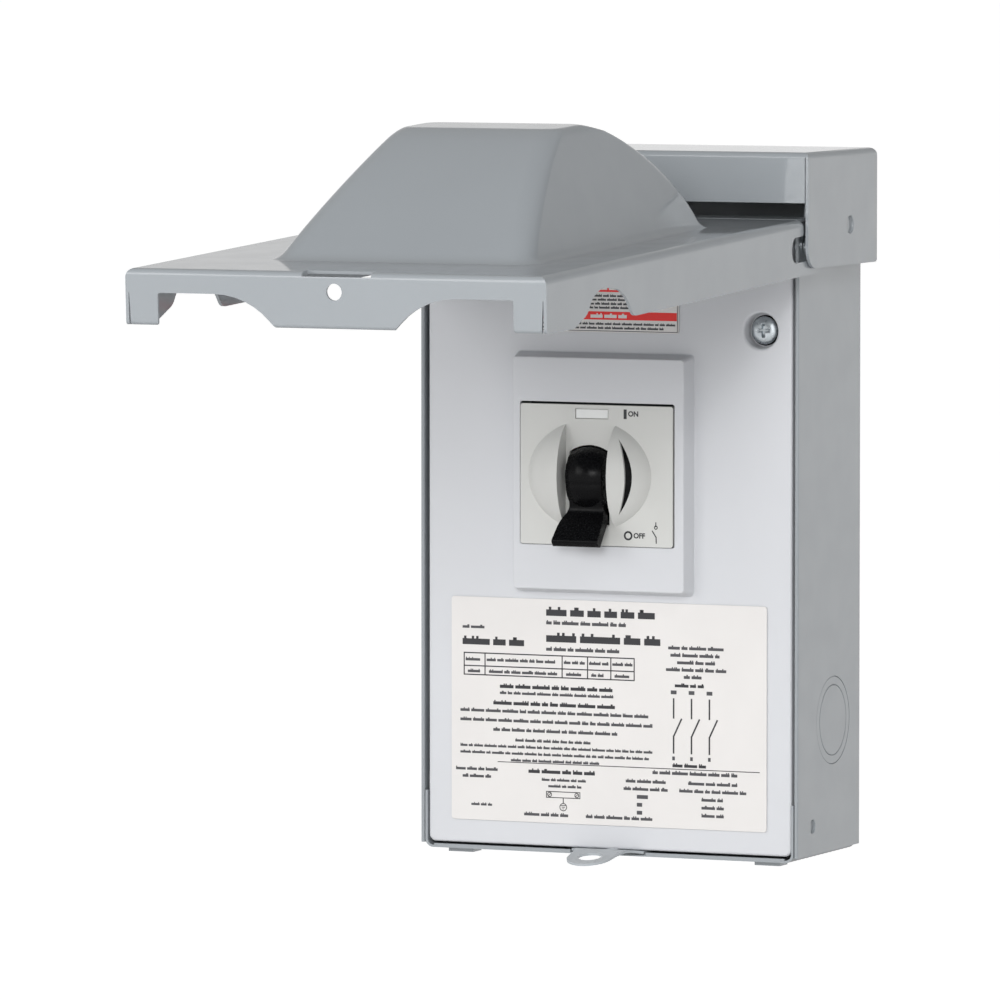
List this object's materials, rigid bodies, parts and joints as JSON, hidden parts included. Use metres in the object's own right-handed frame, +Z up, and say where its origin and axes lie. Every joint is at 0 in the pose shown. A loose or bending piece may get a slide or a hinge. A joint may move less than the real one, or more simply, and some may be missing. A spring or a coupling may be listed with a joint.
{
  "type": "ac disconnect box",
  "caption": "Wall-mounted outdoor disconnect: grey steel enclosure with rain hood, lift-up domed lid on a slotted hinge, pale dead front, black toggle switch and padlock hasp.",
  "frame": {"origin": "middle of the wall face of the back plate", "axes": "+Z up, front towards -Y, back plate's outer face at y = 0"},
  "size_m": [0.1832, 0.3407, 0.3096],
  "materials": {
    "grey_paint": "satin gloss baked enamel",
    "pale_paint": "satin enamel",
    "ivory_plastic": "fine moulded texture",
    "black_plastic": "smooth moulded",
    "case_plastic": "matte moulded",
    "label_paper": "satin printed film",
    "clear_window": "smooth translucent",
    "zinc_steel": "zinc plated",
    "copper": "tinned copper alloy"
  },
  "bodies": {
    "root": {"back_box": "grey_paint", "bottom_pan": "grey_paint", "top_hood": "grey_paint", "hasp": "zinc_steel", "hood_rivet_right": "grey_paint", "pan_rivet_right": "grey_paint", "knockout_slug_right": "grey_paint", "knockout_ring_right": "grey_paint", "hood_rivet_left": "grey_paint", "pan_rivet_left": "grey_paint", "knockout_slug_left": "grey_paint", "knockout_ring_left": "grey_paint", "bottom_knockout_1": "grey_paint", "bottom_knockout_2": "grey_paint", "back_knockout": "grey_paint", "dead_front": "pale_paint", "dead_front_screw": "zinc_steel", "screw_washer": "black_plastic", "screw_bracket": "grey_paint", "dead_front_ledge": "grey_paint", "rating_label": "label_paper", "caution_label": "label_paper", "switch_faceplate": "ivory_plastic", "padlock_slot_insert": "black_plastic", "indicator_window": "clear_window", "switch_housing": "case_plastic", "switch_base": "case_plastic", "din_rail": "zinc_steel", "rail_screw_1": "zinc_steel", "rail_screw_2": "zinc_steel", "line_terminal_1": "copper", "load_terminal_1": "copper", "line_screw_1": "zinc_steel", "load_screw_1": "zinc_steel", "ground_screw_1": "zinc_steel", "line_terminal_2": "copper", "load_terminal_2": "copper", "line_screw_2": "zinc_steel", "load_screw_2": "zinc_steel", "ground_screw_2": "zinc_steel", "line_terminal_3": "copper", "load_terminal_3": "copper", "line_screw_3": "zinc_steel", "load_screw_3": "zinc_steel", "ground_screw_3": "zinc_steel", "ground_bar": "copper"},
    "lid_pins": {"hinge_pin_right": "zinc_steel", "hinge_pin_left": "zinc_steel"},
    "lid": {"lid": "grey_paint"},
    "toggle": {"toggle_handle": "black_plastic"},
    "contact_slide": {"contact_carrier": "ivory_plastic", "contact_bridge_1": "copper", "contact_bridge_2": "copper", "contact_bridge_3": "copper"}
  },
  "joints": [
    {"name": "lid_swing", "type": "hinge", "parent": "root", "child": "lid_pins", "pos_m": [0, -0.06264, 0.10676], "axis": [1, 0, 0], "range_deg": [0, 87.37]},
    {"name": "lid_slide", "type": "slide", "parent": "lid_pins", "child": "lid", "axis": [0, 0.9989, 0.0459], "range_m": [0, 0.0212]},
    {"name": "toggle_throw", "type": "hinge", "parent": "root", "child": "toggle", "pos_m": [-0.0055, -0.0732, 0.0106], "axis": [-1, 0, 0], "range_deg": [0, 100]},
    {"name": "contact_travel", "type": "slide", "parent": "root", "child": "contact_slide", "axis": [0, 1, 0], "range_m": [0, 0.007]}
  ],
  "couplings": [
    {"joint": "lid_slide", "follows": "lid_swing", "m_per_rad": 0.0139},
    {"joint": "contact_travel", "follows": "toggle_throw", "m_per_rad": 0.00401}
  ]
}
